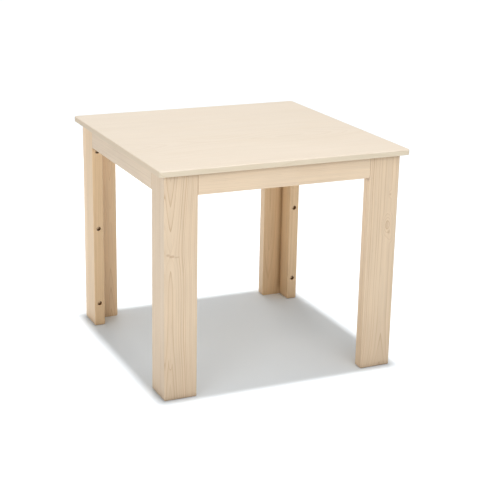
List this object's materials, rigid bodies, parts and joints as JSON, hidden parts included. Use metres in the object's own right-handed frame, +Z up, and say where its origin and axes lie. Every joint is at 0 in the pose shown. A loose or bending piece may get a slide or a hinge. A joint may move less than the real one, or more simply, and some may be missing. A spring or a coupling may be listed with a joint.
{
  "type": "square wooden table",
  "caption": "Square low table in pale pine: thin top with rounded edges, L-section legs of two screwed boards and flush aprons, for communion, display or activities.",
  "frame": {"origin": "on the floor, under the middle of the top", "axes": "+Z up, +X to the right along the front apron, +Y from the front to the back"},
  "size_m": [0.55, 0.55, 0.48],
  "materials": {
    "top_pine": "clear satin lacquer, grain along X",
    "frame_pine": "clear satin lacquer, grain along each board",
    "block_beech": "bare sawn beech",
    "dowel_beech": "bare turned beech",
    "screw_zinc": "yellow zinc plate",
    "bolt_steel": "bright zinc plate"
  },
  "bodies": {
    "root": {"table_top": "top_pine", "apron_front": "frame_pine", "apron_dowels_front": "dowel_beech", "apron_screws_front": "screw_zinc", "apron_right": "frame_pine", "apron_dowels_right": "dowel_beech", "apron_screws_right": "screw_zinc", "apron_back": "frame_pine", "apron_dowels_back": "dowel_beech", "apron_screws_back": "screw_zinc", "apron_left": "frame_pine", "apron_dowels_left": "dowel_beech", "apron_screws_left": "screw_zinc", "leg_face_board_front_left": "frame_pine", "leg_side_batten_front_left": "frame_pine", "leg_screws_front_left": "screw_zinc", "corner_block_front_left": "block_beech", "corner_bolts_front_left": "bolt_steel", "corner_washers_front_left": "bolt_steel", "threaded_inserts_front_left": "bolt_steel", "block_screw_front_left": "screw_zinc", "leg_face_board_front_right": "frame_pine", "leg_side_batten_front_right": "frame_pine", "leg_screws_front_right": "screw_zinc", "corner_block_front_right": "block_beech", "corner_bolts_front_right": "bolt_steel", "corner_washers_front_right": "bolt_steel", "threaded_inserts_front_right": "bolt_steel", "block_screw_front_right": "screw_zinc", "leg_face_board_back_right": "frame_pine", "leg_side_batten_back_right": "frame_pine", "leg_screws_back_right": "screw_zinc", "corner_block_back_right": "block_beech", "corner_bolts_back_right": "bolt_steel", "corner_washers_back_right": "bolt_steel", "threaded_inserts_back_right": "bolt_steel", "block_screw_back_right": "screw_zinc", "leg_face_board_back_left": "frame_pine", "leg_side_batten_back_left": "frame_pine", "leg_screws_back_left": "screw_zinc", "corner_block_back_left": "block_beech", "corner_bolts_back_left": "bolt_steel", "corner_washers_back_left": "bolt_steel", "threaded_inserts_back_left": "bolt_steel", "block_screw_back_left": "screw_zinc"}
  },
  "joints": []
}
